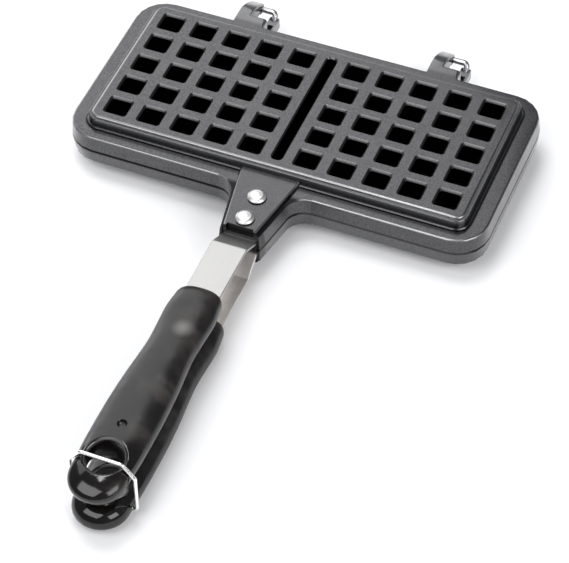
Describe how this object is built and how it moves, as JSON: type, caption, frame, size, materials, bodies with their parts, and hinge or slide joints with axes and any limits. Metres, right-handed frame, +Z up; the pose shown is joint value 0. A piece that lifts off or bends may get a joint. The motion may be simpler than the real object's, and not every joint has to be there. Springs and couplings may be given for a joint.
{
  "type": "stovetop waffle iron",
  "caption": "Hinged cast waffle iron for a stove: two rectangular grid plates, flat strap handles with dark moulded grips, and a wire bail that locks the grips together.",
  "frame": {"origin": "centre of the bounding box's underside, on the surface that the lower grip rests on", "axes": "+Y from the handles' ends towards the hinges, +Z up through the closed plates"},
  "size_m": [0.2416, 0.3604, 0.04],
  "materials": {
    "coated_cast_aluminium": "dark grey non-stick coating, satin with a fine cast grain",
    "hinge_pin_steel": "drawn wire, slightly dull",
    "stainless_strap_steel": "satin stainless strip",
    "rivet_aluminium": "bright domed heads",
    "grip_phenolic": "glossy black moulding",
    "bail_wire_steel": "polished round wire"
  },
  "bodies": {
    "lower_half": {"lower_plate": "coated_cast_aluminium", "left_hinge_pin": "hinge_pin_steel", "right_hinge_pin": "hinge_pin_steel", "lower_strap": "stainless_strap_steel", "lower_rivet_rear": "rivet_aluminium", "lower_rivet_front": "rivet_aluminium", "lower_grip": "grip_phenolic"},
    "upper_half": {"upper_plate": "coated_cast_aluminium", "upper_strap": "stainless_strap_steel", "upper_rivet_rear": "rivet_aluminium", "upper_rivet_front": "rivet_aluminium", "upper_grip": "grip_phenolic"},
    "bail": {"locking_bail": "bail_wire_steel"}
  },
  "joints": [
    {"name": "lid_hinge", "type": "hinge", "parent": "lower_half", "child": "upper_half", "pos_m": [0, 0.1768, 0.0188], "axis": [-1, 0, 0], "range_deg": [0, 180]},
    {"name": "bail_hinge", "type": "hinge", "parent": "lower_half", "child": "bail", "pos_m": [0, -0.1622, 0.0078], "axis": [1, 0, 0], "range_deg": [0, 100]}
  ]
}
